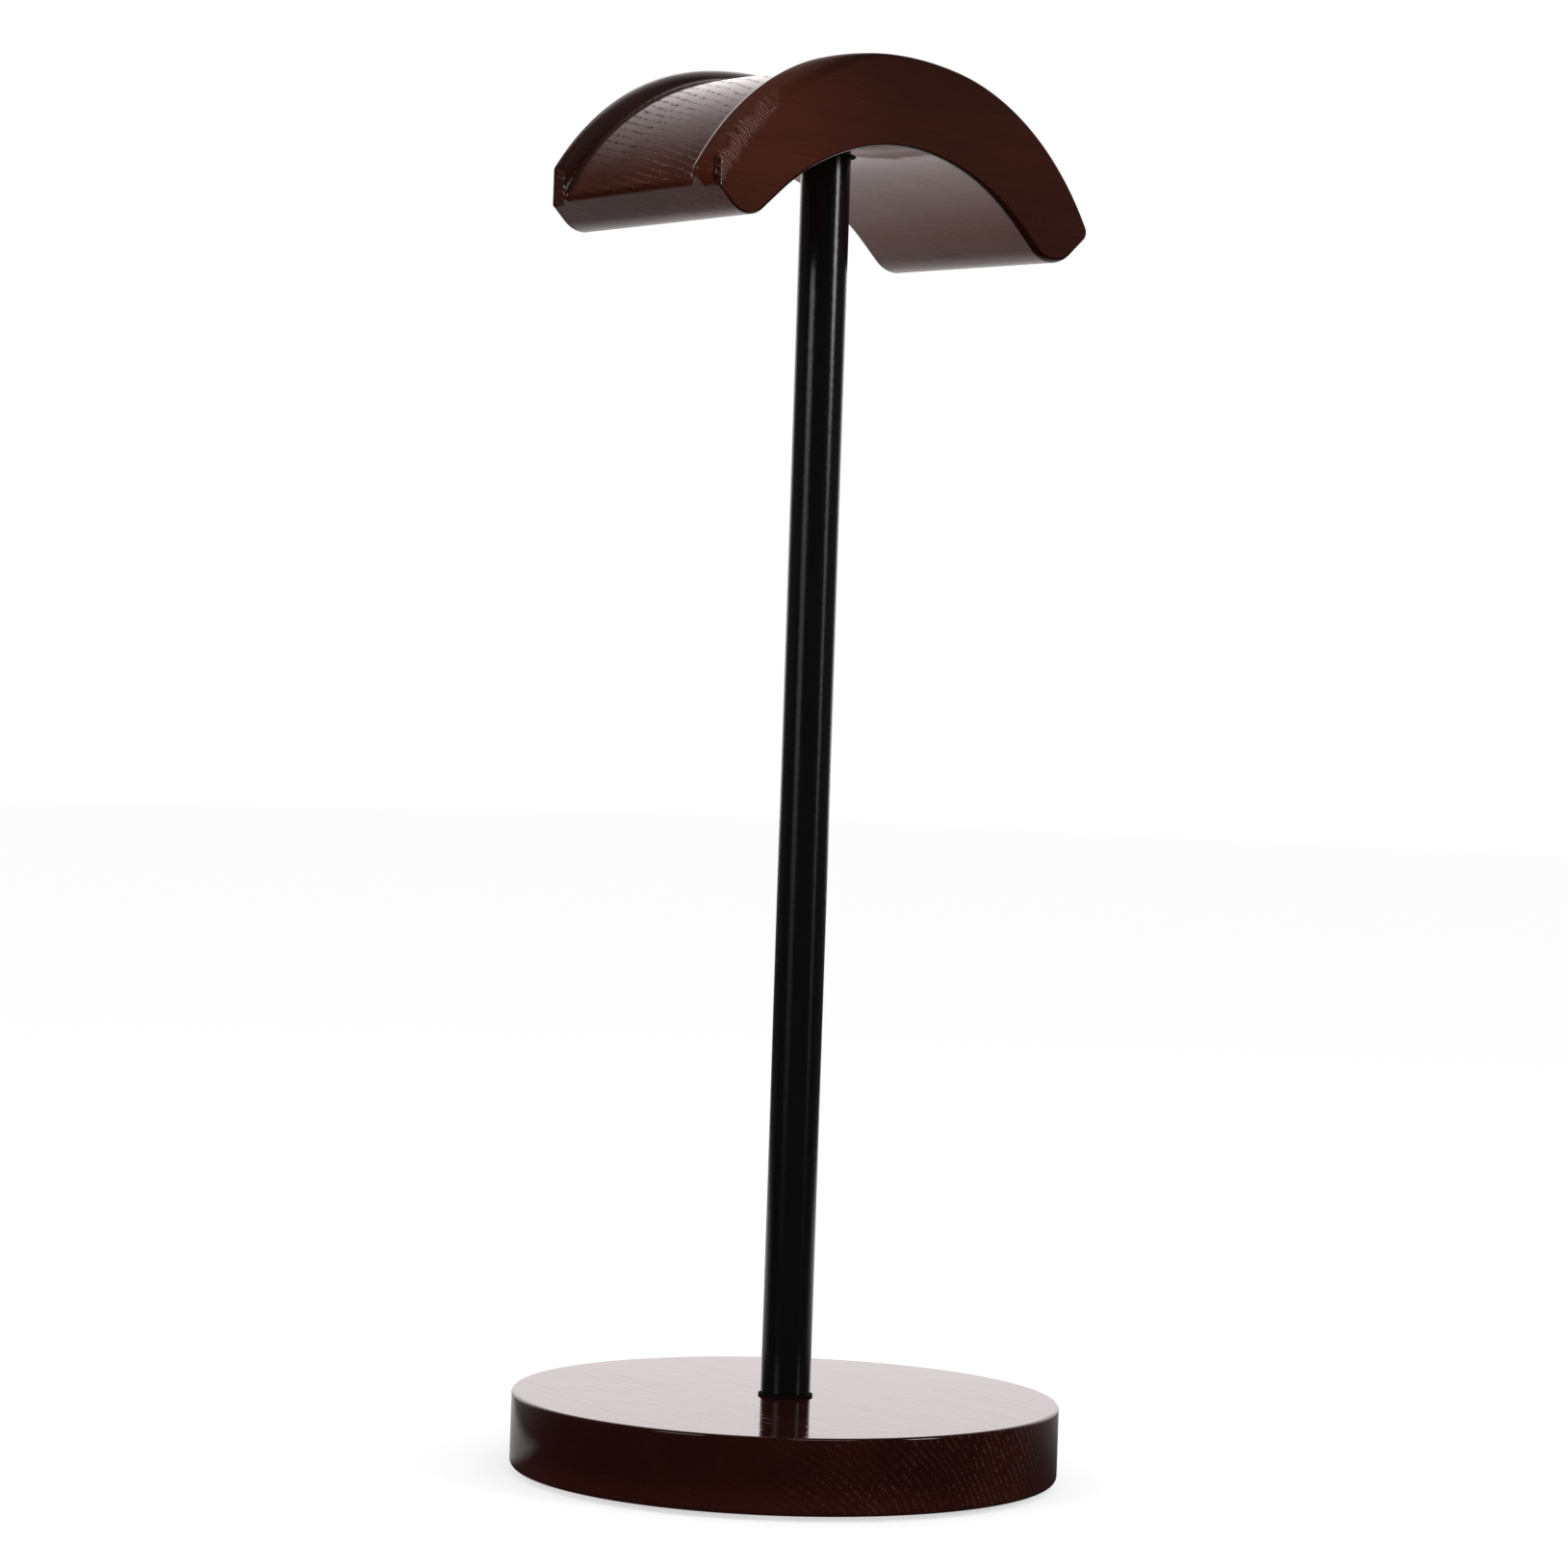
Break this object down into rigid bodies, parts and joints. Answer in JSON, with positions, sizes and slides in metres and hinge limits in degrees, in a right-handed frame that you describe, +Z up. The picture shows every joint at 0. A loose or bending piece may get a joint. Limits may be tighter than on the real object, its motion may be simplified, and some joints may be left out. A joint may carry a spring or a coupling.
{
  "type": "headphone stand",
  "caption": "Headphone stand: an arched wooden saddle with a shallow headband channel on a slim round pole, on a round wooden base.",
  "frame": {"origin": "on the floor under the foot pads, on the pole's axis", "axes": "+Z up along the pole, X across the saddle's arch, Y along the saddle's length"},
  "size_m": [0.1124, 0.11, 0.2832],
  "materials": {
    "stained_wood": "dark walnut stain under clear gloss lacquer, open-pored grain",
    "black_paint": "smooth black powder coat, semi-gloss",
    "gasket_rubber": "matt black",
    "pad_foam": "fine-celled dark foam rubber, matt",
    "zinc_steel": "bright zinc plate",
    "insert_brass": "turned, dull"
  },
  "bodies": {
    "root": {"base": "stained_wood", "foot_pads": "pad_foam", "base_screw": "zinc_steel", "base_screw_washer": "zinc_steel", "lower_gasket": "gasket_rubber", "pole_tube": "black_paint", "lower_pole_plug": "zinc_steel", "upper_pole_plug": "zinc_steel", "upper_gasket": "gasket_rubber", "saddle_stud": "zinc_steel", "saddle_insert": "insert_brass", "saddle": "stained_wood"}
  },
  "joints": []
}
